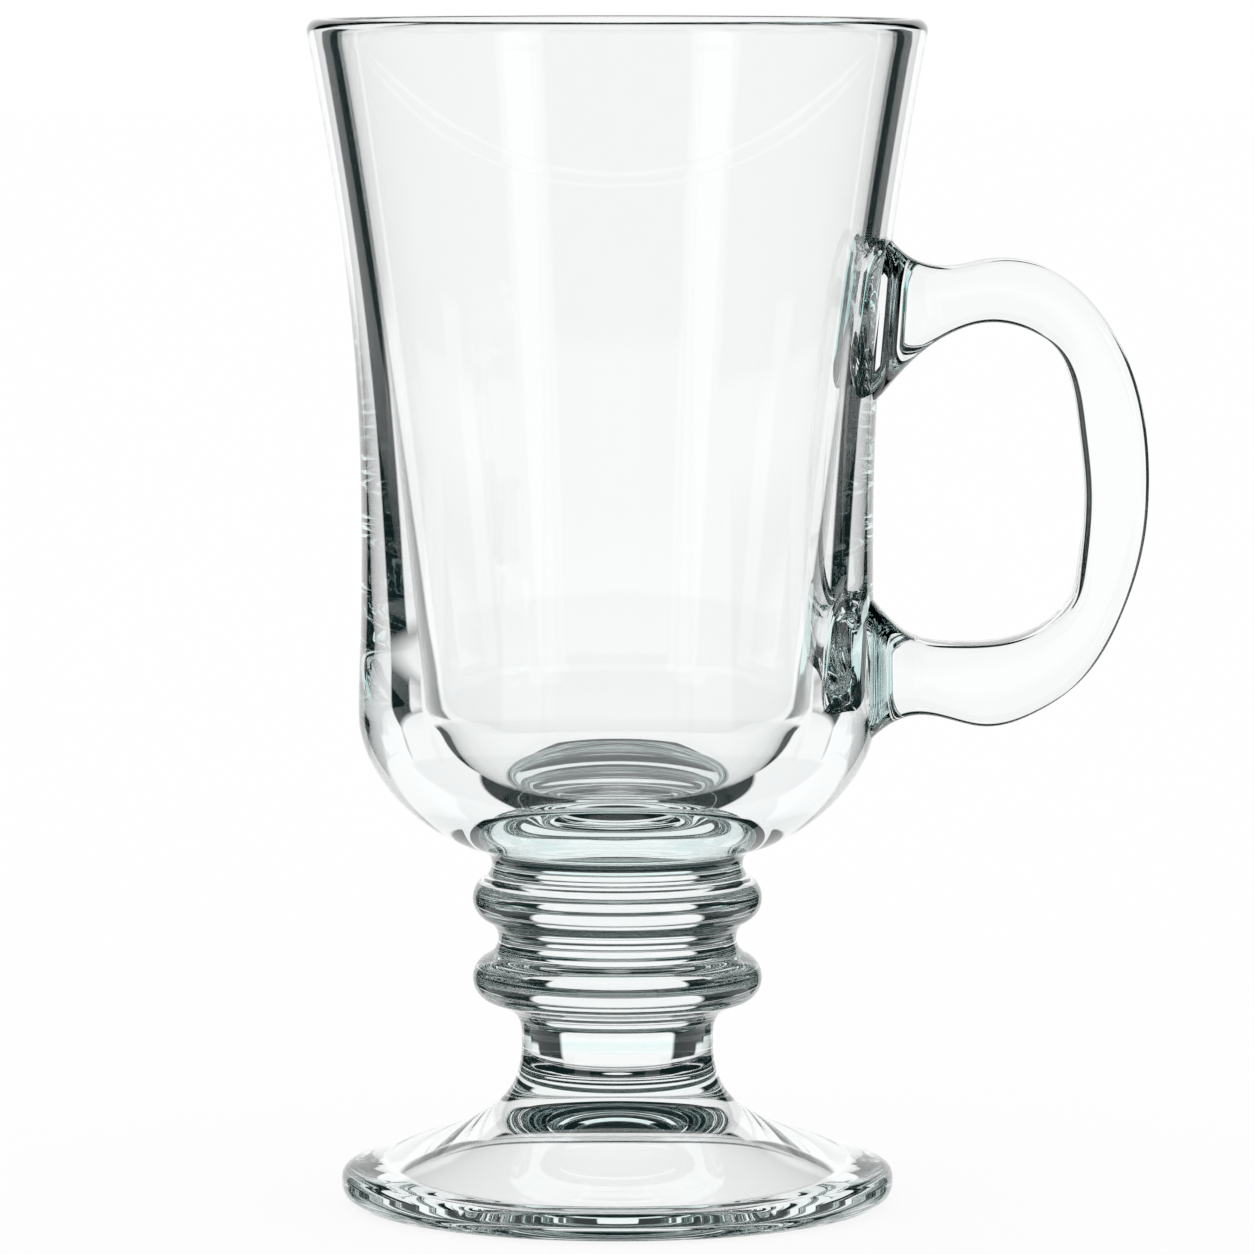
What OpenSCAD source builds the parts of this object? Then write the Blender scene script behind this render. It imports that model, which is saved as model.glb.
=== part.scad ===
// Irish coffee glass mug: a tall flared bowl on a short beaded stem and a spreading foot, with one
// D-shaped handle. All four pieces are clear glass, made hot and fused to each other at flat or
// fitted faces. The axis of the mug is Z, the base stands on Z = 0 and the handle points along +X.

/* [Bowl] */
// Height of the bowl alone, from the top of the stem to the rim
bowl_h = 105; // [90:1:120]
// Outer diameter at the rim
rim_d = 76.8; // [70:0.2:84]
// Outer diameter at the waist, the narrowest place of the wall
waist_d = 63.6; // [58:0.2:68]
// Height of the waist above the bottom of the bowl
waist_h = 39.8; // [34:0.2:46]
// Outer diameter at the swell, just above the rounded bottom
swell_d = 64.4; // [60:0.2:68]
// Height of the swell above the bottom of the bowl
swell_h = 18.8; // [16:0.2:22]
// Angle by which the wall leans outwards at the rim
rim_lean = 10.2; // [4:0.1:14]
// Thickness of the wall at the rim
rim_wall = 3.6; // [2.4:0.1:4.6]
// Thickness of the wall low down, where the inside starts to round in
low_wall = 7.7; // [6:0.1:9]
// Thickness of the solid glass under the middle of the inside floor
base_t = 8.5; // [7:0.5:10]
// Radius of the shallow dish of the inside floor
floor_dish_r = 100; // [60:5:160]
// Radius between the inside floor and the inside wall
corner_r = 13; // [10:0.5:16]
// Draft of the inside wall above that radius
cavity_draft = 5.6; // [2:0.1:8]

/* [Stem] */
// Height of the stem, from the top of the foot to the bottom of the bowl
stem_h = 22.5; // [20:0.5:26]
// Diameter of the plain round shank under the beads
shank_d = 23.9; // [18:0.1:27]
// Outer diameter of each of the two beads
bead_d = 36.1; // [33:0.1:40]
// Radius of the rounded edge of a bead
bead_r = 3.1; // [2.6:0.1:3.4]
// Distance between the middles of the two beads
bead_pitch = 10; // [9:0.1:11]
// Height of the middle of the lower bead above the bottom of the stem
bead_low_h = 8.2; // [7:0.1:9]
// Diameter of the groove between the beads
groove_d = 29.7; // [27:0.1:31]
// Diameter of the neck where the stem meets the bowl
neck_d = 31.3; // [28:0.1:32]

/* [Foot] */
// Height of the foot, from the table to the shank
foot_h = 20; // [16:0.5:24]
// Largest diameter of the foot
foot_d = 68.9; // [62:0.1:76]
// Slope of the top of the foot near its edge
foot_slope = 21.8; // [15:0.1:26]
// Radius that rounds the foot's edge down to the table
foot_under_r = 2.6; // [1.6:0.1:3.2]
// Radius that rounds the foot's edge up to its top
foot_upper_r = 1.6; // [1:0.1:2.2]
// Height of the straight band between these two roundings
foot_band = 0.6; // [0.2:0.1:1.2]
// Width of the flat ring that the mug stands on
bearing_w = 4.2; // [3:0.1:6]
// Depth of the hollow under the foot, at its middle
hollow_h = 11; // [6:0.5:12]

/* [Handle] */
// How far the handle stands out from the waist of the bowl
handle_reach = 34; // [28:0.5:40]
// Height of the handle, from its lowest to its highest point
handle_h = 57.9; // [48:0.5:64]
// Height of the handle's lowest point above the bottom of the bowl
handle_low_h = 17.5; // [15:0.5:22]
// Width of the handle across, along Y
handle_w = 11; // [8:0.5:14]
// Width of the handle where it spreads onto the bowl
handle_root_w = 14; // [12:0.5:18]
// Radius of the handle's long edges
handle_edge_r = 1.8; // [1:0.1:2.4]
// Radius of those edges where the handle spreads onto the bowl
handle_root_r = 5; // [3:0.5:5.5]

/* [Hidden] */
glass = [0.86, 0.93, 0.91, 0.45];

// How far the handle's two ends start inside the bowl's outline before they are cut to it
root_sink = 1.4;
// Steps along each curved stretch of an outline, and along each span and edge of the handle
curve_steps = 14;
arc_steps = 8;
span_steps = 5;
edge_steps = 4;
// Facets that round surfaces are drawn with
round_fn = 128;

// Heights above the table at which the pieces meet
stem_z = foot_h;
bowl_z = stem_z + stem_h;
rim_z = bowl_z + bowl_h;

// Radii of the bowl
rim_r = rim_d / 2;
waist_r = waist_d / 2;
swell_r = swell_d / 2;
neck_r = neck_d / 2;
rim_round = rim_wall * 0.4;
waist_z = bowl_z + waist_h;
swell_z = bowl_z + swell_h;

// Where the bowl's bottom leaves the small curve above the neck, as shares of the bottom's
// width and height, and the slope that it has there
belly_r_share = 0.165;
belly_z_share = 0.12;
belly_slope = 16;

// Pulls of the outline's curves, as shares of the heights or widths that they span
neck_pull_share = 0.62;
belly_out_share = 0.45;
belly_up_share = 0.46;
swell_up_share = 0.4;
waist_down_share = 0.7;
waist_up_share = 0.42;
rim_down_share = 0.36;

// Unit vector at an angle, point along an arc, and point list of a cubic curve
function dir(a) = [cos(a), sin(a)];
function arc(c, r, a0, a1, n) = [for (i = [0:n]) c + r * dir(a0 + (a1 - a0) * i / n)];
function bez_at(a, b, c, d, t) =
    pow(1 - t, 3) * a + 3 * pow(1 - t, 2) * t * b + 3 * (1 - t) * t * t * c + pow(t, 3) * d;
function bez(a, b, c, d, n) = [for (i = [0:n]) bez_at(a, b, c, d, i / n)];
// The same list without its first point, which the stretch before it has already drawn
function rest(list) = [for (i = [1:len(list) - 1]) list[i]];

// Outside of the bowl as [radius, height] from the neck up to where the rim starts to round
belly = [neck_r + (swell_r - neck_r) * belly_r_share, bowl_z + swell_h * belly_z_share];
rim_side = [rim_r, rim_z - rim_round];
neck_curve = bez([neck_r, bowl_z], [neck_r, bowl_z + (belly.y - bowl_z) * neck_pull_share],
    belly - (belly.x - neck_r) * neck_pull_share * dir(belly_slope), belly, arc_steps);
belly_curve = bez(belly, belly + (swell_r - belly.x) * belly_out_share * dir(belly_slope),
    [swell_r, swell_z - (swell_z - belly.y) * belly_up_share], [swell_r, swell_z], curve_steps);
swell_curve = bez([swell_r, swell_z], [swell_r, swell_z + (waist_z - swell_z) * swell_up_share],
    [waist_r, waist_z - (waist_z - swell_z) * waist_down_share], [waist_r, waist_z], arc_steps);
flare_curve = bez([waist_r, waist_z], [waist_r, waist_z + (rim_z - waist_z) * waist_up_share],
    rim_side - (rim_z - waist_z) * rim_down_share * dir(90 - rim_lean), rim_side, curve_steps);
bowl_outside = concat(neck_curve, rest(belly_curve), rest(swell_curve), rest(flare_curve));

// Inside of the bowl, from the rim down to the middle of the floor. The floor is a shallow dish, and
// the arc of the corner touches both the dish and the wall, which leans outwards by its draft.
floor_z = bowl_z + base_t;
turn_r = swell_r - low_wall;
dish_angle = asin((turn_r - corner_r * cos(cavity_draft)) / (floor_dish_r - corner_r));
dish_mid = [0, floor_z + floor_dish_r];
corner_mid = dish_mid + (floor_dish_r - corner_r) * dir(dish_angle - 90);
turn = corner_mid + corner_r * dir(-cavity_draft);
rim_inside = [rim_r - rim_wall, rim_z - rim_round];
cavity_curve = bez(rim_inside, rim_inside - (rim_z - turn.y) * rim_down_share * dir(90 - rim_lean),
    turn + (rim_z - turn.y) * rim_down_share * dir(90 - cavity_draft), turn, curve_steps);
floor_curve = concat(rest(arc(corner_mid, corner_r, -cavity_draft, dish_angle - 90, curve_steps)),
    rest(arc(dish_mid, floor_dish_r, dish_angle - 90, -90, arc_steps)));
rim_curve = concat(arc([rim_r - rim_round, rim_z - rim_round], rim_round, 0, 90, arc_steps),
    arc([rim_r - rim_wall + rim_round, rim_z - rim_round], rim_round, 90, 180, arc_steps));

// Outside radius of the bowl at a height above the table
function bowl_r_at(z) = lookup(z, [for (p = bowl_outside) [p.y, p.x]]);

module outer_form() {
    rotate_extrude($fn = round_fn)
        polygon(concat([[0, bowl_z]], bowl_outside, [[0, rim_z - rim_round]]));
}

module bowl() {
    color(glass)
        rotate_extrude($fn = round_fn)
            polygon(concat([[0, bowl_z]], bowl_outside, rest(rim_curve), rest(cavity_curve),
                floor_curve));
}

// The stem's beads and grooves are arcs that touch each other. A groove between two beads, or
// beside one, touches the bead where the line between the two centres crosses both circles.
bead_mid_r = bead_d / 2 - bead_r;
bead_low_z = stem_z + bead_low_h;
bead_high_z = bead_low_z + bead_pitch;
groove_z = (bead_low_z + bead_high_z) / 2;
shank_r = shank_d / 2;
groove_low_r = groove_d / 2;
// Radius of a groove of a given smallest radius whose middle lies dz from the middle of a bead
function cove_r(small_r, dz) =
    (pow(small_r - bead_mid_r, 2) + dz * dz - bead_r * bead_r) / (2 * (bead_r - small_r + bead_mid_r));
mid_cove_r = cove_r(groove_low_r, bead_pitch / 2);
neck_cove_r = cove_r(neck_r, bowl_z - bead_high_z);
mid_angle = atan2(bead_pitch / 2, groove_low_r + mid_cove_r - bead_mid_r);
neck_angle = atan2(bowl_z - bead_high_z, neck_r + neck_cove_r - bead_mid_r);

// Slope of the lower bead's underside, and the pulls of the curve from there down to the shank
under_slope = 19;
under_top = [bead_mid_r, bead_low_z] + bead_r * dir(under_slope - 90);
shank_top = [shank_r, stem_z + bead_low_h * 0.12];
under_in_share = 0.7;
under_up_share = 0.68;
under_curve = bez(shank_top, shank_top + [0, (under_top.y - shank_top.y) * under_up_share],
    under_top - (under_top.x - shank_r) * under_in_share * dir(under_slope), under_top, curve_steps);

module stem() {
    color(glass)
        rotate_extrude($fn = round_fn)
            polygon(concat([[0, stem_z], [shank_r, stem_z]], under_curve,
                rest(arc([bead_mid_r, bead_low_z], bead_r, under_slope - 90, mid_angle, curve_steps)),
                rest(arc([groove_low_r + mid_cove_r, groove_z], mid_cove_r,
                    180 + mid_angle, 180 - mid_angle, arc_steps)),
                rest(arc([bead_mid_r, bead_high_z], bead_r, -mid_angle, neck_angle, curve_steps)),
                rest(arc([neck_r + neck_cove_r, bowl_z], neck_cove_r, 180 + neck_angle, 180, arc_steps)),
                [[0, bowl_z]]));
}

// The foot spreads in one curve from the shank to its rounded edge, and is hollowed underneath
foot_r = foot_d / 2;
under_mid = [foot_r - foot_under_r, foot_under_r];
upper_mid = [foot_r - foot_upper_r, foot_under_r + foot_band];
foot_edge = upper_mid + foot_upper_r * dir(90 - foot_slope);
foot_down_share = 0.68;
foot_out_share = 0.59;
foot_curve = bez(foot_edge, foot_edge - (foot_edge.x - shank_r) * foot_out_share * dir(-foot_slope),
    [shank_r, foot_h - (foot_h - foot_edge.y) * foot_down_share], [shank_r, foot_h], 2 * curve_steps);
bearing_r = foot_r - foot_under_r - bearing_w;
hollow_out_share = 0.55;
hollow_in_share = 0.3;
hollow_curve = bez([0, hollow_h], [bearing_r * hollow_in_share, hollow_h],
    [bearing_r * (1 - (1 - hollow_in_share) * hollow_out_share), hollow_h * (1 - hollow_out_share)],
    [bearing_r, 0], curve_steps);

module foot() {
    color(glass)
        rotate_extrude($fn = round_fn)
            polygon(concat(hollow_curve, arc(under_mid, foot_under_r, -90, 0, arc_steps),
                arc(upper_mid, foot_upper_r, 0, 90 - foot_slope, arc_steps), rest(foot_curve),
                [[0, foot_h]]));
}

// Stations along the handle, from its upper end to its lower one. Each gives the outer edge and
// the finger side as shares of the way out from the bowl's wall, at the same height, to the handle's
// farthest reach, and of the handle's height, and how far the handle has spread to its ends' form.
handle_shares = [
    [0, 1.064, 0, 0.670, 1],
    [0.061, 1.009, 0.068, 0.750, 0.6],
    [0.206, 0.983, 0.169, 0.810, 0.22],
    [0.422, 1.000, 0.352, 0.862, 0],
    [0.617, 0.979, 0.489, 0.860, 0],
    [0.842, 0.865, 0.660, 0.803, 0],
    [0.985, 0.651, 0.748, 0.634, 0],
    [1.000, 0.500, 0.771, 0.500, 0],
    [0.953, 0.320, 0.753, 0.344, 0],
    [0.786, 0.119, 0.689, 0.243, 0],
    [0.595, 0.032, 0.528, 0.186, 0],
    [0.376, 0.000, 0.296, 0.173, 0.06],
    [0.114, 0.019, 0.091, 0.209, 0.6],
    [0, -0.047, 0, 0.299, 1]];
handle_z = bowl_z + handle_low_h;
far_r = waist_r + handle_reach;
last_station = len(handle_shares) - 1;

// One station in real sizes: outer x, outer z, finger side x, finger side z, width, edge radius
function reach_at(share, z) = share == 0 ? bowl_r_at(z) - root_sink
    : bowl_r_at(z) + (far_r - bowl_r_at(z)) * share;
function station(i) =
    let (s = handle_shares[i], outer_z = handle_z + handle_h * s[1], inner_z = handle_z + handle_h * s[3])
    [reach_at(s[0], outer_z), outer_z, reach_at(s[2], inner_z), inner_z,
        handle_w + (handle_root_w - handle_w) * s[4],
        handle_edge_r + (handle_root_r - handle_edge_r) * s[4]];
stations = [for (i = [0:last_station]) station(i)];

// Smooth curve through the stations, span by span
function pick(i) = stations[max(0, min(last_station, i))];
function through(a, b, c, d, t) =
    b + (c - a) * t / 2 + (a - 2.5 * b + 2 * c - d / 2) * t * t + (1.5 * (b - c) + (d - a) / 2) * pow(t, 3);
handle_rings = [for (i = [0:last_station - 1]) for (k = [0:span_steps - (i < last_station - 1 ? 1 : 0)])
    through(pick(i - 1), pick(i), pick(i + 1), pick(i + 2), k / span_steps)];

// Section of the handle, a rectangle with round corners: u runs from the finger side to the
// outer edge, v across
function section(depth, width, r) = [for (q = [0:3]) for (k = [0:edge_steps])
    let (a = 90 * (q + k / edge_steps), su = (q == 0 || q == 3) ? 1 : -1, sv = q < 2 ? 1 : -1)
    [su * (depth / 2 - r), sv * (width / 2 - r)] + r * dir(a)];
ring_n = 4 * (edge_steps + 1);
function ring_points(r) =
    let (out = [r[0], r[1]], in = [r[2], r[3]], mid = (out + in) / 2, depth = norm(out - in),
        u = (out - in) / depth)
    [for (s = section(depth, r[4], r[5])) [mid.x + u.x * s.x, s.y, mid.y + u.y * s.x]];
handle_points = [for (r = handle_rings) each ring_points(r)];
ring_count = len(handle_rings);
handle_faces = concat(
    [[for (k = [0:ring_n - 1]) k]],
    [for (i = [0:ring_count - 2]) for (k = [0:ring_n - 1])
        let (a = i * ring_n + k, b = i * ring_n + (k + 1) % ring_n)
        each [[a, a + ring_n, b], [b, a + ring_n, b + ring_n]]],
    [[for (k = [ring_n - 1:-1:0]) (ring_count - 1) * ring_n + k]]);

module handle() {
    color(glass)
        difference() {
            polyhedron(handle_points, handle_faces, convexity = 6);
            outer_form();
        }
}

bowl();
stem();
foot();
handle();
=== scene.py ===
import bpy
import bmesh
import math
import numpy as np
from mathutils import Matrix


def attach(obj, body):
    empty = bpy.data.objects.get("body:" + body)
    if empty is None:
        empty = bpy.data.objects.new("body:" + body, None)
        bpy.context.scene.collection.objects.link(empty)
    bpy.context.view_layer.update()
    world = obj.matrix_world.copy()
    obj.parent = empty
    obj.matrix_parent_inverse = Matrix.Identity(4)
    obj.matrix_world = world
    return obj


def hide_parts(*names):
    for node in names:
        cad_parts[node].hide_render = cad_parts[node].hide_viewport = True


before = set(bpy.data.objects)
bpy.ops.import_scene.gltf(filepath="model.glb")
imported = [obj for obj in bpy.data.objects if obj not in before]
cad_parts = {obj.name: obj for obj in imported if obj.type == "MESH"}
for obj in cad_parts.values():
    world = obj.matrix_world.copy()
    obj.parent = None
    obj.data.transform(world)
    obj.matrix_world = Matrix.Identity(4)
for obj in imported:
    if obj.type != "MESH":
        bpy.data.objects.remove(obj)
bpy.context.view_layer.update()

# The outline is worked out in millimetres, as the solids are, and the meshes are made in metres
MM = 0.001
ROUND_STEPS = 256
CURVE_STEPS = 40
SHORT_STEPS = CURVE_STEPS // 2
LONG_STEPS = CURVE_STEPS * 2
RIM_STEPS = 12
FOOT_UNDER_STEPS = 16
FOOT_UPPER_STEPS = 10
EDGE_STEPS = 8
PATH_POINTS = 200

# Points of an outline closer than this, in millimetres, are one point
SAME_POINT = 1e-4
# Radius in millimetres below which a point of an outline lies on the axis
ON_AXIS = 1e-6
# Least radius in millimetres by which a direction is divided
LEAST_R = 1e-9
# Distance in metres within which the vertices of cut meshes are welded
WELD = 2e-7
# Vertices handled at once when normals are looked up, to keep the tables of distances small
BATCH = 4000

# Sizes of the bowl
bowl_h = 105.0
rim_r = 76.8 / 2
waist_r = 63.6 / 2
waist_h = 39.8
swell_r = 64.4 / 2
swell_h = 18.8
rim_lean = 10.2
rim_wall = 3.6
low_wall = 7.7
base_t = 8.5
floor_dish_r = 100.0
corner_r = 13.0
cavity_draft = 5.6
belly_slope = 16

# Sizes of the stem
stem_h = 22.5
shank_r = 23.9 / 2
bead_out_r = 36.1 / 2
bead_r = 3.1
bead_pitch = 10
bead_low_h = 8.2
groove_r = 29.7 / 2
neck_r = 31.3 / 2
under_slope = 19

# Sizes of the foot
foot_h = 20.0
foot_r = 68.9 / 2
foot_slope = 21.8
foot_under_r = 2.6
foot_upper_r = 1.6
foot_band = 0.6
bearing_w = 4.2
hollow_h = 11.0

# Sizes of the handle
handle_reach = 34
handle_h = 57.9
handle_low_h = 17.5
handle_w = 11.0
handle_root_w = 14.0
handle_edge_r = 1.8
handle_root_r = 5.0
root_sink = 1.4
# The ends spread over about this length, and a small fillet softens them where they meet the wall
spread_len = 6.5
spread_power = 1.7
fillet_r = 1.5
fillet_len = 2.2

# Shares of the widths and heights that the outline's curves span
rim_round_share = 0.4
belly_r_share = 0.165
belly_z_share = 0.12
neck_pull_share = 0.62
belly_out_share = 0.45
belly_up_share = 0.46
swell_up_share = 0.4
waist_down_share = 0.7
waist_up_share = 0.42
rim_down_share = 0.36
shank_top_share = 0.12
under_in_share = 0.7
under_up_share = 0.68
foot_down_share = 0.68
foot_out_share = 0.59
hollow_in_share = 0.3
hollow_out_share = 0.55

# Heights above the table
stem_z = foot_h
bowl_z = foot_h + stem_h
rim_z = foot_h + stem_h + bowl_h
waist_z = bowl_z + waist_h
swell_z = bowl_z + swell_h
rim_round = rim_wall * rim_round_share


# Outline of the mug, as points of radius and height
def vec(angle):
    """Unit vector at an angle in degrees."""
    return np.array([math.cos(math.radians(angle)), math.sin(math.radians(angle))])


def arc(mid, r, start, end, steps):
    """Points of an arc, with the angles in degrees."""
    return [np.array(mid) + r * vec(start + (end - start) * i / steps) for i in range(steps + 1)]


def bez(a, b, c, d, steps):
    """Points of the cubic Bezier curve from a to d, pulled towards b and c."""
    a, b, c, d = (np.array(q, float) for q in (a, b, c, d))
    return [(1 - t) ** 3 * a + 3 * (1 - t) ** 2 * t * b + 3 * (1 - t) * t * t * c + t ** 3 * d
            for t in np.linspace(0, 1, steps + 1)]


def bowl_outside():
    """Outside of the bowl, from the neck up to where the rim starts to round."""
    belly = np.array([neck_r + (swell_r - neck_r) * belly_r_share, bowl_z + swell_h * belly_z_share])
    rim_side = np.array([rim_r, rim_z - rim_round])
    neck_pull = (belly[0] - neck_r) * neck_pull_share * vec(belly_slope)
    belly_pull = (swell_r - belly[0]) * belly_out_share * vec(belly_slope)
    rim_pull = (rim_z - waist_z) * rim_down_share * vec(90 - rim_lean)
    return (bez([neck_r, bowl_z], [neck_r, bowl_z + (belly[1] - bowl_z) * neck_pull_share],
                belly - neck_pull, belly, SHORT_STEPS)
            + bez(belly, belly + belly_pull, [swell_r, swell_z - (swell_z - belly[1]) * belly_up_share],
                  [swell_r, swell_z], CURVE_STEPS)[1:]
            + bez([swell_r, swell_z], [swell_r, swell_z + (waist_z - swell_z) * swell_up_share],
                  [waist_r, waist_z - (waist_z - swell_z) * waist_down_share],
                  [waist_r, waist_z], SHORT_STEPS)[1:]
            + bez([waist_r, waist_z], [waist_r, waist_z + (rim_z - waist_z) * waist_up_share],
                  rim_side - rim_pull, rim_side, CURVE_STEPS)[1:])


def bowl_rim():
    """The fire-polished rim, from the outside over to the inside."""
    return (arc([rim_r - rim_round, rim_z - rim_round], rim_round, 0, 90, RIM_STEPS)
            + arc([rim_r - rim_wall + rim_round, rim_z - rim_round], rim_round, 90, 180, RIM_STEPS))


def bowl_inside():
    """Inside of the bowl, from the rim down to the middle of its shallow dished floor."""
    floor_z = bowl_z + base_t
    turn_r = swell_r - low_wall
    dish_in = turn_r - corner_r * math.cos(math.radians(cavity_draft))
    dish_angle = math.degrees(math.asin(dish_in / (floor_dish_r - corner_r)))
    dish_mid = np.array([0, floor_z + floor_dish_r])
    corner_mid = dish_mid + (floor_dish_r - corner_r) * vec(dish_angle - 90)
    turn = corner_mid + corner_r * vec(-cavity_draft)
    rim_in = np.array([rim_r - rim_wall, rim_z - rim_round])
    pull = (rim_z - turn[1]) * rim_down_share
    return (bez(rim_in, rim_in - pull * vec(90 - rim_lean), turn + pull * vec(90 - cavity_draft),
                turn, CURVE_STEPS)
            + arc(corner_mid, corner_r, -cavity_draft, dish_angle - 90, CURVE_STEPS)[1:]
            + arc(dish_mid, floor_dish_r, dish_angle - 90, -90, SHORT_STEPS)[1:])


def stem_outside():
    """The shank and the two beads, with grooves that are arcs touching the beads beside them."""
    bead_mid = bead_out_r - bead_r
    low_z = stem_z + bead_low_h
    high_z = low_z + bead_pitch
    groove_z = (low_z + high_z) / 2
    half = bead_pitch / 2
    above = bowl_z - high_z

    def cove(small, dz):
        return ((small - bead_mid) ** 2 + dz * dz - bead_r ** 2) / (2 * (bead_r - small + bead_mid))

    mid_cove = cove(groove_r, half)
    neck_cove = cove(neck_r, above)
    mid_angle = math.degrees(math.atan2(half, groove_r + mid_cove - bead_mid))
    neck_angle = math.degrees(math.atan2(above, neck_r + neck_cove - bead_mid))
    under_top = np.array([bead_mid, low_z]) + bead_r * vec(under_slope - 90)
    under_pull = (under_top[0] - shank_r) * under_in_share * vec(under_slope)
    shank_top = np.array([shank_r, stem_z + bead_low_h * shank_top_share])
    shank_pull = [0, (under_top[1] - shank_top[1]) * under_up_share]
    return ([np.array([shank_r, stem_z])]
            + bez(shank_top, shank_top + shank_pull, under_top - under_pull, under_top, CURVE_STEPS)
            + arc([bead_mid, low_z], bead_r, under_slope - 90, mid_angle, CURVE_STEPS)[1:]
            + arc([groove_r + mid_cove, groove_z], mid_cove, 180 + mid_angle, 180 - mid_angle,
                  SHORT_STEPS)[1:]
            + arc([bead_mid, high_z], bead_r, -mid_angle, neck_angle, CURVE_STEPS)[1:]
            + arc([neck_r + neck_cove, bowl_z], neck_cove, 180 + neck_angle, 180, SHORT_STEPS)[1:])


def foot_outside():
    """The hollow underside, the rounded edge and the slope up to the shank."""
    upper_mid = np.array([foot_r - foot_upper_r, foot_under_r + foot_band])
    edge = upper_mid + foot_upper_r * vec(90 - foot_slope)
    edge_pull = (edge[0] - shank_r) * foot_out_share * vec(-foot_slope)
    stand_r = foot_r - foot_under_r - bearing_w
    hollow_side = [stand_r * (1 - (1 - hollow_in_share) * hollow_out_share),
                   hollow_h * (1 - hollow_out_share)]
    return (bez([0, hollow_h], [stand_r * hollow_in_share, hollow_h], hollow_side,
                [stand_r, 0], CURVE_STEPS)
            + arc([foot_r - foot_under_r, foot_under_r], foot_under_r, -90, 0, FOOT_UNDER_STEPS)
            + arc(upper_mid, foot_upper_r, 0, 90 - foot_slope, FOOT_UPPER_STEPS)
            + bez(edge, edge - edge_pull, [shank_r, foot_h - (foot_h - edge[1]) * foot_down_share],
                  [shank_r, foot_h], LONG_STEPS)[1:])


def thin_out(line):
    """The same outline without points that fall on one another."""
    kept = [line[0]]
    for p in line[1:]:
        if np.hypot(*(p - kept[-1])) > SAME_POINT:
            kept.append(p)
    return kept


def line_normals(line):
    """Outward normals of the outline, which runs with the glass on its left."""
    along = np.gradient(line, axis=0)
    seg = np.diff(line, axis=0)
    seg /= np.linalg.norm(seg, axis=1)[:, None]
    along[1:-1] = seg[1:] + seg[:-1]
    # Both ends lie on the axis, where the outline is level
    along[0], along[-1] = (1, 0), (-1, 0)
    along /= np.linalg.norm(along, axis=1)[:, None]
    return np.column_stack([along[:, 1], -along[:, 0]])


outside = bowl_outside()
foot_line = thin_out(foot_outside())
stem_line = thin_out(stem_outside())
bowl_line = thin_out(outside + bowl_rim()[1:] + bowl_inside()[1:])
whole = np.array(thin_out(foot_line + stem_line + bowl_line))
whole_normals = line_normals(whole)

# Looks of the glass: its clear colour, the tint that builds up with depth, and the ripple that
# pressing leaves, which is drawn out along the height and has its depth in metres
CLEAR_COLOUR = (0.994, 1.0, 0.998, 1)
GLASS_IOR = 1.52
TINT_COLOUR = (0.80, 0.985, 0.97, 1)
TINT_DENSITY = 4.5
RIPPLE_STRETCH = (1, 1, 0.12)
RIPPLE_SCALE = 55
RIPPLE_DETAIL = 1.5
ROUND_RIPPLE = 0.000005
HANDLE_RIPPLE = 0.00001
# Slots of the two materials on each piece
GLASS_SLOT = 0
SEAM_SLOT = 1


def new_material(name):
    """Material with its output node alone, and its nodes and links."""
    mat = bpy.data.materials.new(name)
    mat.use_nodes = True
    nodes, links = mat.node_tree.nodes, mat.node_tree.links
    nodes.clear()
    return mat, nodes, links, nodes.new("ShaderNodeOutputMaterial")


def glass(name, ripple):
    """Clear fire-polished glass with a faint tint in its depth and a faint ripple in its surface."""
    mat, nodes, links, out = new_material(name)
    body = nodes.new("ShaderNodeBsdfPrincipled")
    body.inputs["Base Color"].default_value = CLEAR_COLOUR
    body.inputs["Roughness"].default_value = 0.0
    body.inputs["IOR"].default_value = GLASS_IOR
    body.inputs["Transmission Weight"].default_value = 1.0
    place = nodes.new("ShaderNodeTexCoord")
    stretch = nodes.new("ShaderNodeMapping")
    noise = nodes.new("ShaderNodeTexNoise")
    bump = nodes.new("ShaderNodeBump")
    stretch.inputs["Scale"].default_value = RIPPLE_STRETCH
    noise.inputs["Scale"].default_value = RIPPLE_SCALE
    noise.inputs["Detail"].default_value = RIPPLE_DETAIL
    bump.inputs["Strength"].default_value = 1.0
    bump.inputs["Distance"].default_value = ripple
    links.new(place.outputs["Object"], stretch.inputs["Vector"])
    links.new(stretch.outputs["Vector"], noise.inputs["Vector"])
    links.new(noise.outputs["Fac"], bump.inputs["Height"])
    links.new(bump.outputs["Normal"], body.inputs["Normal"])
    links.new(body.outputs["BSDF"], out.inputs["Surface"])
    tint = nodes.new("ShaderNodeVolumeAbsorption")
    tint.inputs["Color"].default_value = TINT_COLOUR
    tint.inputs["Density"].default_value = TINT_DENSITY
    links.new(tint.outputs["Volume"], out.inputs["Volume"])
    return mat


def seam():
    """Face where two pieces are fused: the glass runs through it unbroken, so it shows nothing."""
    mat, nodes, links, out = new_material("fused_seam")
    clear = nodes.new("ShaderNodeBsdfTransparent")
    links.new(clear.outputs["BSDF"], out.inputs["Surface"])
    return mat


bowl_glass = glass("clear_bowl", ROUND_RIPPLE)
stem_glass = glass("clear_stem", ROUND_RIPPLE)
foot_glass = glass("clear_foot", ROUND_RIPPLE)
handle_glass = glass("clear_handle", HANDLE_RIPPLE)
seam_mat = seam()


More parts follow.
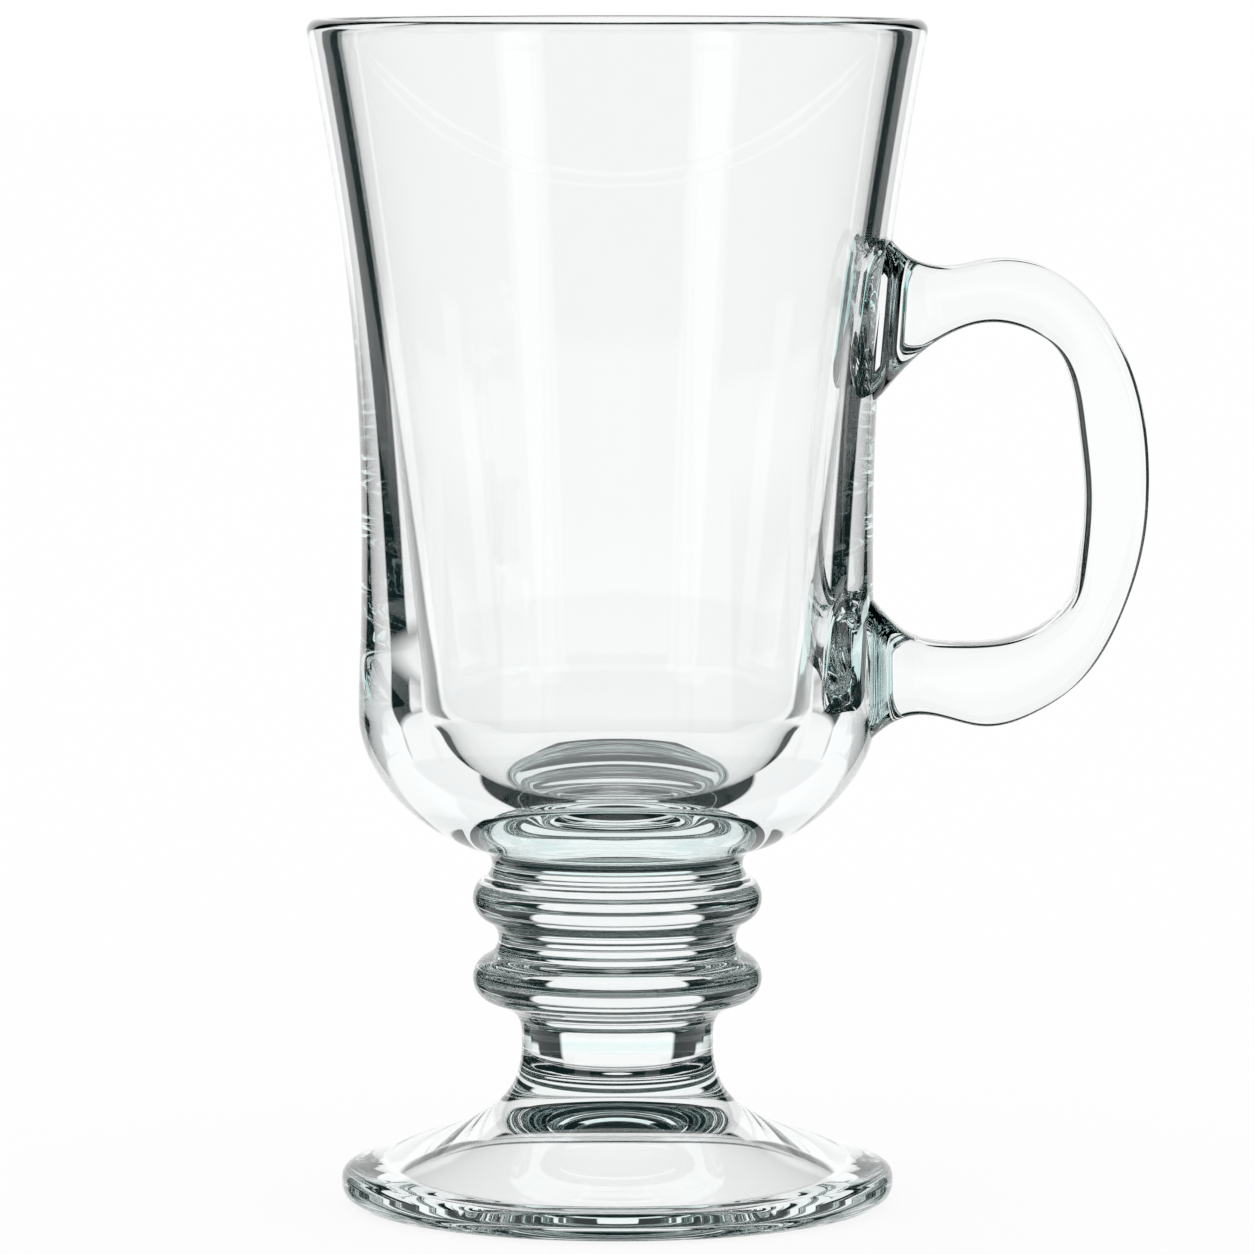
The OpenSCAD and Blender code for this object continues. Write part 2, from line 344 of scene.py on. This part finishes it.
# Round pieces
def turned(name, line, mats, cap_low=False, cap_high=False):
    """Solid of revolution, closed by a fused face at each end that is capped."""
    verts, rings, faces, mat_of = [], [], [], []
    turns = [2 * math.pi * k / ROUND_STEPS for k in range(ROUND_STEPS)]
    for r, z in line:
        if r < ON_AXIS:
            rings.append([len(verts)])
            verts.append((0, 0, z * MM))
        else:
            rings.append(list(range(len(verts), len(verts) + ROUND_STEPS)))
            verts += [(r * MM * math.cos(a), r * MM * math.sin(a), z * MM) for a in turns]
    for low, high in zip(rings[:-1], rings[1:]):
        for k in range(ROUND_STEPS):
            k1 = (k + 1) % ROUND_STEPS
            if len(low) == 1:
                faces.append((low[0], high[k1], high[k]))
            elif len(high) == 1:
                faces.append((low[k], low[k1], high[0]))
            else:
                faces.append((low[k], low[k1], high[k1], high[k]))
            mat_of.append(GLASS_SLOT)
    if cap_low:
        faces.append(tuple(reversed(rings[0])))
        mat_of.append(SEAM_SLOT)
    if cap_high:
        faces.append(tuple(rings[-1]))
        mat_of.append(SEAM_SLOT)
    mesh = bpy.data.meshes.new(name)
    mesh.from_pydata(verts, [], faces)
    for mat in mats:
        mesh.materials.append(mat)
    mesh.polygons.foreach_set("material_index", mat_of)
    ob = bpy.data.objects.new(name, mesh)
    bpy.context.scene.collection.objects.link(ob)
    return ob


def outline_normals(place):
    """Normals of the outline where it lies nearest to each place of radius and height."""
    start, along = whole[:-1], np.diff(whole, axis=0)
    length2 = (along * along).sum(axis=1)
    normals = np.empty((len(place), 2))
    for s in range(0, len(place), BATCH):
        off = place[s:s + BATCH, None, :] - start[None]
        t = np.clip((off * along[None]).sum(axis=2) / length2, 0, 1)
        gap = ((off - t[:, :, None] * along[None]) ** 2).sum(axis=2)
        i = gap.argmin(axis=1)
        part = t[np.arange(len(i)), i][:, None]
        normals[s:s + BATCH] = whole_normals[i] * (1 - part) + whole_normals[i + 1] * part
    return normals / np.linalg.norm(normals, axis=1)[:, None]


def round_normals(ob):
    """Gives the piece the exact normals of its outline, so light bends evenly across its facets."""
    mesh = ob.data
    mesh.shade_smooth()
    co = np.empty(len(mesh.vertices) * 3)
    mesh.vertices.foreach_get("co", co)
    co = co.reshape(-1, 3) / MM
    r = np.hypot(co[:, 0], co[:, 1])
    flat = outline_normals(np.column_stack([r, co[:, 2]]))
    safe = np.maximum(r, LEAST_R)
    turned_out = np.column_stack([flat[:, 0] * co[:, 0] / safe, flat[:, 0] * co[:, 1] / safe, flat[:, 1]])
    vertex_of = np.empty(len(mesh.loops), int)
    mesh.loops.foreach_get("vertex_index", vertex_of)
    split = turned_out[vertex_of]
    for poly in mesh.polygons:
        if poly.material_index == SEAM_SLOT:
            for k in poly.loop_indices:
                split[k] = poly.normal
    mesh.normals_split_custom_set(split.tolist())


foot = turned("foot_visual", foot_line, [foot_glass, seam_mat], cap_high=True)
stem = turned("stem_visual", stem_line, [stem_glass, seam_mat], cap_low=True, cap_high=True)
bowl = turned("bowl_visual", bowl_line, [bowl_glass, seam_mat], cap_low=True)

# Handle. Each station gives its outer edge and its finger side, as shares of the way out from the
# wall to the farthest reach and of the handle's height, from the upper end round to the lower one.
HANDLE_SHARES = [
    (0, 1.064, 0, 0.670), (0.061, 1.009, 0.068, 0.750), (0.206, 0.983, 0.169, 0.810),
    (0.422, 1.000, 0.352, 0.862), (0.617, 0.979, 0.489, 0.860), (0.842, 0.865, 0.660, 0.803),
    (0.985, 0.651, 0.748, 0.634), (1.000, 0.500, 0.771, 0.500), (0.953, 0.320, 0.753, 0.344),
    (0.786, 0.119, 0.689, 0.243), (0.595, 0.032, 0.528, 0.186), (0.376, 0.000, 0.296, 0.173),
    (0.114, 0.019, 0.091, 0.209), (0, -0.047, 0, 0.299)]
handle_z = bowl_z + handle_low_h
far_r = waist_r + handle_reach
wall = np.array(outside)


def reach_at(share, z):
    """Radius at a share of the way out. A share of 0 lies a little inside the bowl's wall."""
    wall_r = float(np.interp(z, wall[:, 1], wall[:, 0]))
    return wall_r - root_sink if share == 0 else wall_r + (far_r - wall_r) * share


def handle_stations():
    """Outer radius and height, and finger side radius and height, of each station."""
    stations = []
    for out_share, out_h_share, in_share, in_h_share in HANDLE_SHARES:
        out_z = handle_z + handle_h * out_h_share
        in_z = handle_z + handle_h * in_h_share
        stations.append([reach_at(out_share, out_z), out_z, reach_at(in_share, in_z), in_z])
    return np.array(stations)


def natural(t, y, at):
    """Natural cubic spline through y at t, read at other places."""
    n, h = len(t), np.diff(t)
    a, b = np.zeros((n, n)), np.zeros((n, y.shape[1]))
    a[0, 0] = a[-1, -1] = 1
    for i in range(1, n - 1):
        a[i, i - 1], a[i, i], a[i, i + 1] = h[i - 1], 2 * (h[i - 1] + h[i]), h[i]
        b[i] = 6 * ((y[i + 1] - y[i]) / h[i] - (y[i] - y[i - 1]) / h[i - 1])
    m = np.linalg.solve(a, b)
    read = []
    for v in at:
        i = min(max(int(np.searchsorted(t, v)) - 1, 0), n - 2)
        p, q = (t[i + 1] - v) / h[i], (v - t[i]) / h[i]
        bend = ((p ** 3 - p) * m[i] + (q ** 3 - q) * m[i + 1]) * h[i] ** 2 / 6
        read.append(p * y[i] + q * y[i + 1] + bend)
    return np.array(read)


def handle_ring(outer, inner, near):
    """Section of the handle, a box with rounded edges, at a distance near from its closer end."""
    spread = math.exp(-(near / spread_len) ** spread_power)
    fillet = fillet_r * max(0.0, 1 - max(near - root_sink, 0) / fillet_len) ** 2
    width = handle_w + (handle_root_w - handle_w) * spread + 2 * fillet
    edge_r = handle_edge_r + (handle_root_r - handle_edge_r) * spread
    mid, depth = (outer + inner) / 2, math.dist(outer, inner)
    u = (outer - inner) / depth
    ring = []
    for q in range(4):
        side_u, side_v = (1 if q in (0, 3) else -1), (1 if q < 2 else -1)
        corner = np.array([side_u * (depth / 2 - edge_r), side_v * (width / 2 - edge_r)])
        for k in range(EDGE_STEPS + 1):
            c = corner + edge_r * vec(90 * (q + k / EDGE_STEPS))
            ring.append(((mid[0] + u[0] * c[0]) * MM, c[1] * MM, (mid[1] + u[1] * c[0]) * MM))
    return ring


def handle_sweep():
    """The whole handle, with both ends still inside the bowl's wall."""
    stations = handle_stations()
    mids = (stations[:, :2] + stations[:, 2:]) / 2
    length = np.concatenate([[0], np.cumsum(np.hypot(*np.diff(mids, axis=0).T))])
    steps = np.linspace(0, length[-1], PATH_POINTS)
    verts, faces = [], []
    for place, s in zip(natural(length, stations, steps), steps):
        verts += handle_ring(place[:2], place[2:], min(s, length[-1] - s))
    ring_n = 4 * (EDGE_STEPS + 1)
    last = (PATH_POINTS - 1) * ring_n
    for i in range(PATH_POINTS - 1):
        for k in range(ring_n):
            a, b = i * ring_n + k, i * ring_n + (k + 1) % ring_n
            faces.append((a, a + ring_n, b + ring_n, b))
    faces += [tuple(range(ring_n)), tuple(reversed(range(last, last + ring_n)))]
    mesh = bpy.data.meshes.new("handle_visual")
    mesh.from_pydata(verts, [], faces)
    bm = bmesh.new()
    bm.from_mesh(mesh)
    bmesh.ops.recalc_face_normals(bm, faces=bm.faces)
    bm.to_mesh(mesh)
    bm.free()
    mesh.materials.append(handle_glass)
    mesh.materials.append(seam_mat)
    ob = bpy.data.objects.new("handle_visual", mesh)
    bpy.context.scene.collection.objects.link(ob)
    return ob


# Fusing the handle to the bowl
def boolean(ob, other, kind):
    """The mesh of ob joined to, or cut by, other."""
    mod = ob.modifiers.new("cut", "BOOLEAN")
    mod.operation, mod.object, mod.solver, mod.material_mode = kind, other, "EXACT", "TRANSFER"
    made = bpy.data.meshes.new_from_object(ob.evaluated_get(bpy.context.evaluated_depsgraph_get()))
    ob.modifiers.remove(mod)
    return made


def keep_faces(mesh, mats):
    """bmesh of the faces whose material is one of mats."""
    wanted = {i for i, m in enumerate(mesh.materials) if m in mats}
    bm = bmesh.new()
    bm.from_mesh(mesh)
    gone = [f for f in bm.faces if f.material_index not in wanted]
    bmesh.ops.delete(bm, geom=gone, context="FACES")
    return bm


def set_slots(bm, mesh, glass_mat):
    """Puts each face into the slot of the glass or of the seam, from the materials of its mesh."""
    for f in bm.faces:
        f.material_index = GLASS_SLOT if mesh.materials[f.material_index] == glass_mat else SEAM_SLOT


def made_mesh(bm, name, glass_mat):
    """Mesh of a bmesh, with its glass in the first slot and its seams in the second."""
    mesh = bpy.data.meshes.new(name)
    bm.to_mesh(mesh)
    bm.free()
    mesh.materials.append(glass_mat)
    mesh.materials.append(seam_mat)
    return mesh


def fused_bowl(joined, cut):
    """The bowl's own faces of the joined mesh, closed by the ends of the cut handle."""
    ends = keep_faces(cut, [seam_mat])
    bmesh.ops.reverse_faces(ends, faces=ends.faces)
    ends_mesh = bpy.data.meshes.new("handle_ends")
    ends.to_mesh(ends_mesh)
    ends.free()
    bm = keep_faces(joined, [bowl_glass, seam_mat])
    set_slots(bm, joined, bowl_glass)
    before = len(bm.faces)
    bm.from_mesh(ends_mesh)
    bm.faces.ensure_lookup_table()
    for f in bm.faces[before:]:
        f.material_index = SEAM_SLOT
    bmesh.ops.remove_doubles(bm, verts=bm.verts, dist=WELD)
    return made_mesh(bm, "bowl_visual", bowl_glass)


def fused_handle(cut):
    """The cut handle, smooth but for a sharp line between its glass and its fused ends."""
    bm = bmesh.new()
    bm.from_mesh(cut)
    set_slots(bm, cut, handle_glass)
    bmesh.ops.remove_doubles(bm, verts=bm.verts, dist=WELD)
    for e in bm.edges:
        if len({f.material_index for f in e.link_faces}) == 2:
            e.smooth = False
    mesh = made_mesh(bm, "handle_visual", handle_glass)
    for poly in mesh.polygons:
        poly.use_smooth = True
    return mesh


handle = handle_sweep()
# A solid with the bowl's outside trims the handle's ends, and the same cut marks the two places on
# the bowl where they are fused to it
trim_line = [np.array([0, bowl_z])] + thin_out(outside) + [np.array([0, rim_z - rim_round])]
trim = turned("trim", trim_line, [seam_mat])
cut = boolean(handle, trim, "DIFFERENCE")
joined = boolean(bowl, handle, "UNION")
bowl.data = fused_bowl(joined, cut)
handle.data = fused_handle(cut)
bpy.data.objects.remove(trim)
for ob in (bowl, stem, foot):
    round_normals(ob)
for ob, node in ((bowl, "bowl"), (stem, "stem"), (foot, "foot"), (handle, "handle")):
    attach(ob, "root")
    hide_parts(node)

# Light that passes many faces of glass needs more bounces than usual
GLASS_BOUNCES = 24
CLEAR_BOUNCES = 48
scene = bpy.context.scene
scene.view_settings.view_transform = "Standard"
scene.cycles.max_bounces = GLASS_BOUNCES
scene.cycles.transmission_bounces = GLASS_BOUNCES
scene.cycles.glossy_bounces = GLASS_BOUNCES
scene.cycles.transparent_max_bounces = CLEAR_BOUNCES

# Floor, with lengths in metres. The matt share takes the mug's shadow and the rest glows white.
FLOOR_R = 6
FLOOR_SIDES = 96
FLOOR_Z = -0.0002
FLOOR_COLOUR = (0.95, 0.95, 0.95, 1)
matt_share = 0.1


def floor_material():
    """Seen by the camera alone. Other rays pass, so that the glass sees the world below."""
    mat, nodes, links, out = new_material("pale_floor")
    seen = nodes.new("ShaderNodeLightPath")
    glow = nodes.new("ShaderNodeEmission")
    matt = nodes.new("ShaderNodeBsdfDiffuse")
    both = nodes.new("ShaderNodeMixShader")
    clear = nodes.new("ShaderNodeBsdfTransparent")
    pick = nodes.new("ShaderNodeMixShader")
    matt.inputs["Color"].default_value = FLOOR_COLOUR
    both.inputs["Fac"].default_value = matt_share
    links.new(glow.outputs[0], both.inputs[1])
    links.new(matt.outputs[0], both.inputs[2])
    links.new(seen.outputs["Is Camera Ray"], pick.inputs["Fac"])
    links.new(clear.outputs[0], pick.inputs[1])
    links.new(both.outputs[0], pick.inputs[2])
    links.new(pick.outputs[0], out.inputs["Surface"])
    return mat


bm = bmesh.new()
bmesh.ops.create_circle(bm, cap_ends=True, segments=FLOOR_SIDES, radius=FLOOR_R)
floor_mesh = bpy.data.meshes.new("floor")
bm.to_mesh(floor_mesh)
bm.free()
floor = bpy.data.objects.new("floor", floor_mesh)
floor.location.z = FLOOR_Z
scene.collection.objects.link(floor)
floor.data.materials.append(floor_material())

# What the glass sees: white fields by direction, and dark everywhere else. The dark stands for black
# cards round the sides.
# Looking steeply down, between about 46 and 82 degrees below level, it is painted shadow of the mug on
# the table under its foot.
# Each row gives the side angle from straight behind, from and to, the height angle, from and to, the
# brightness and the softness of the edges, with all angles in degrees. The rows are the sweep behind the
# mug, the table behind it, two sweeps of the table out to the sides, a strip straight to each side, the
# tall windows at the front sides, the low light from the front, and the table straight below.
WHITE = [
    (-10, 26.5, -46, 28, 1.0, 1.0),
    (-10, 60, -46, -20.5, 0.95, 0.7),
    (46, 96, -20.5, -11, 0.95, 1.0),
    (56, 130, -27, -6, 0.95, 1.0),
    (84, 96, -8, 2, 0.9, 1.0),
    (128, 147, -27, 20, 1.0, 1.0),
    (147, 190, -27, 0, 0.9, 2.0),
    (-10, 190, -91, -82, 1.0, 1.0),
]
# Colour of the dark cards, and of the painted shadow under the mug's foot that the glass sees looking
# steeply down
CARDS_AND_PAINTED_SHADE = (0.006, 0.014, 0.014)
world = bpy.data.worlds.new("studio")
scene.world = world
world.use_nodes = True
n, l = world.node_tree.nodes, world.node_tree.links
n.clear()


def op(kind, *args):
    """Output of a new maths node, fed with numbers and with other nodes' outputs."""
    node = n.new("ShaderNodeMath")
    node.operation = kind
    for i, a in enumerate(args):
        if isinstance(a, (int, float)):
            node.inputs[i].default_value = a
        else:
            l.new(a, node.inputs[i])
    return node.outputs[0]


def within(x, low, high, soft):
    """1 between low and high, falling to 0 over the softness on both sides, all in degrees."""
    up = op("DIVIDE", op("SUBTRACT", x, low - soft), 2 * soft)
    down = op("DIVIDE", op("SUBTRACT", high + soft, x), 2 * soft)
    lowest = op("MINIMUM", up, down)
    return op("MAXIMUM", op("MINIMUM", lowest, 1.0), 0.0)


def brightness():
    """The white fields for the glass, and plain white for the camera and for matt surfaces."""
    place, split = n.new("ShaderNodeTexCoord"), n.new("ShaderNodeSeparateXYZ")
    l.new(place.outputs["Generated"], split.inputs[0])
    turn = op("ABSOLUTE", op("ARCTAN2", split.outputs[0], split.outputs[1]))
    side = op("MULTIPLY", turn, 180 / math.pi)
    height = op("MULTIPLY", op("ARCSINE", split.outputs[2]), 180 / math.pi)
    seen = n.new("ShaderNodeLightPath")
    bright = op("MAXIMUM", seen.outputs["Is Camera Ray"], seen.outputs["Is Diffuse Ray"])
    for side_from, side_to, low, high, value, soft in WHITE:
        field = op("MULTIPLY", within(side, side_from, side_to, soft), within(height, low, high, soft))
        bright = op("MAXIMUM", bright, op("MULTIPLY", field, value))
    return bright


mix = n.new("ShaderNodeMix")
background = n.new("ShaderNodeBackground")
world_out = n.new("ShaderNodeOutputWorld")
mix.data_type = "RGBA"
l.new(brightness(), mix.inputs[0])
mix.inputs[6].default_value = (*CARDS_AND_PAINTED_SHADE, 1)
mix.inputs[7].default_value = (1, 1, 1, 1)
l.new(mix.outputs[2], background.inputs["Color"])
l.new(background.outputs[0], world_out.inputs["Surface"])

# Camera: a long lens about a metre away, looking a little down
CAMERA_AT = (0.0012, -1.0, 0.159)
CAMERA_DOWN = 4.97124
CAMERA_LENS = 231.63
CAMERA_SENSOR = 36
CAMERA_CLIP = 0.01
cam = bpy.data.cameras.new("camera")
eye = bpy.data.objects.new("camera", cam)
scene.collection.objects.link(eye)
scene.camera = eye
cam.sensor_fit, cam.sensor_width, cam.lens = "HORIZONTAL", CAMERA_SENSOR, CAMERA_LENS
cam.clip_start = CAMERA_CLIP
eye.location = CAMERA_AT
eye.rotation_euler = (math.radians(90 - CAMERA_DOWN), 0, 0)
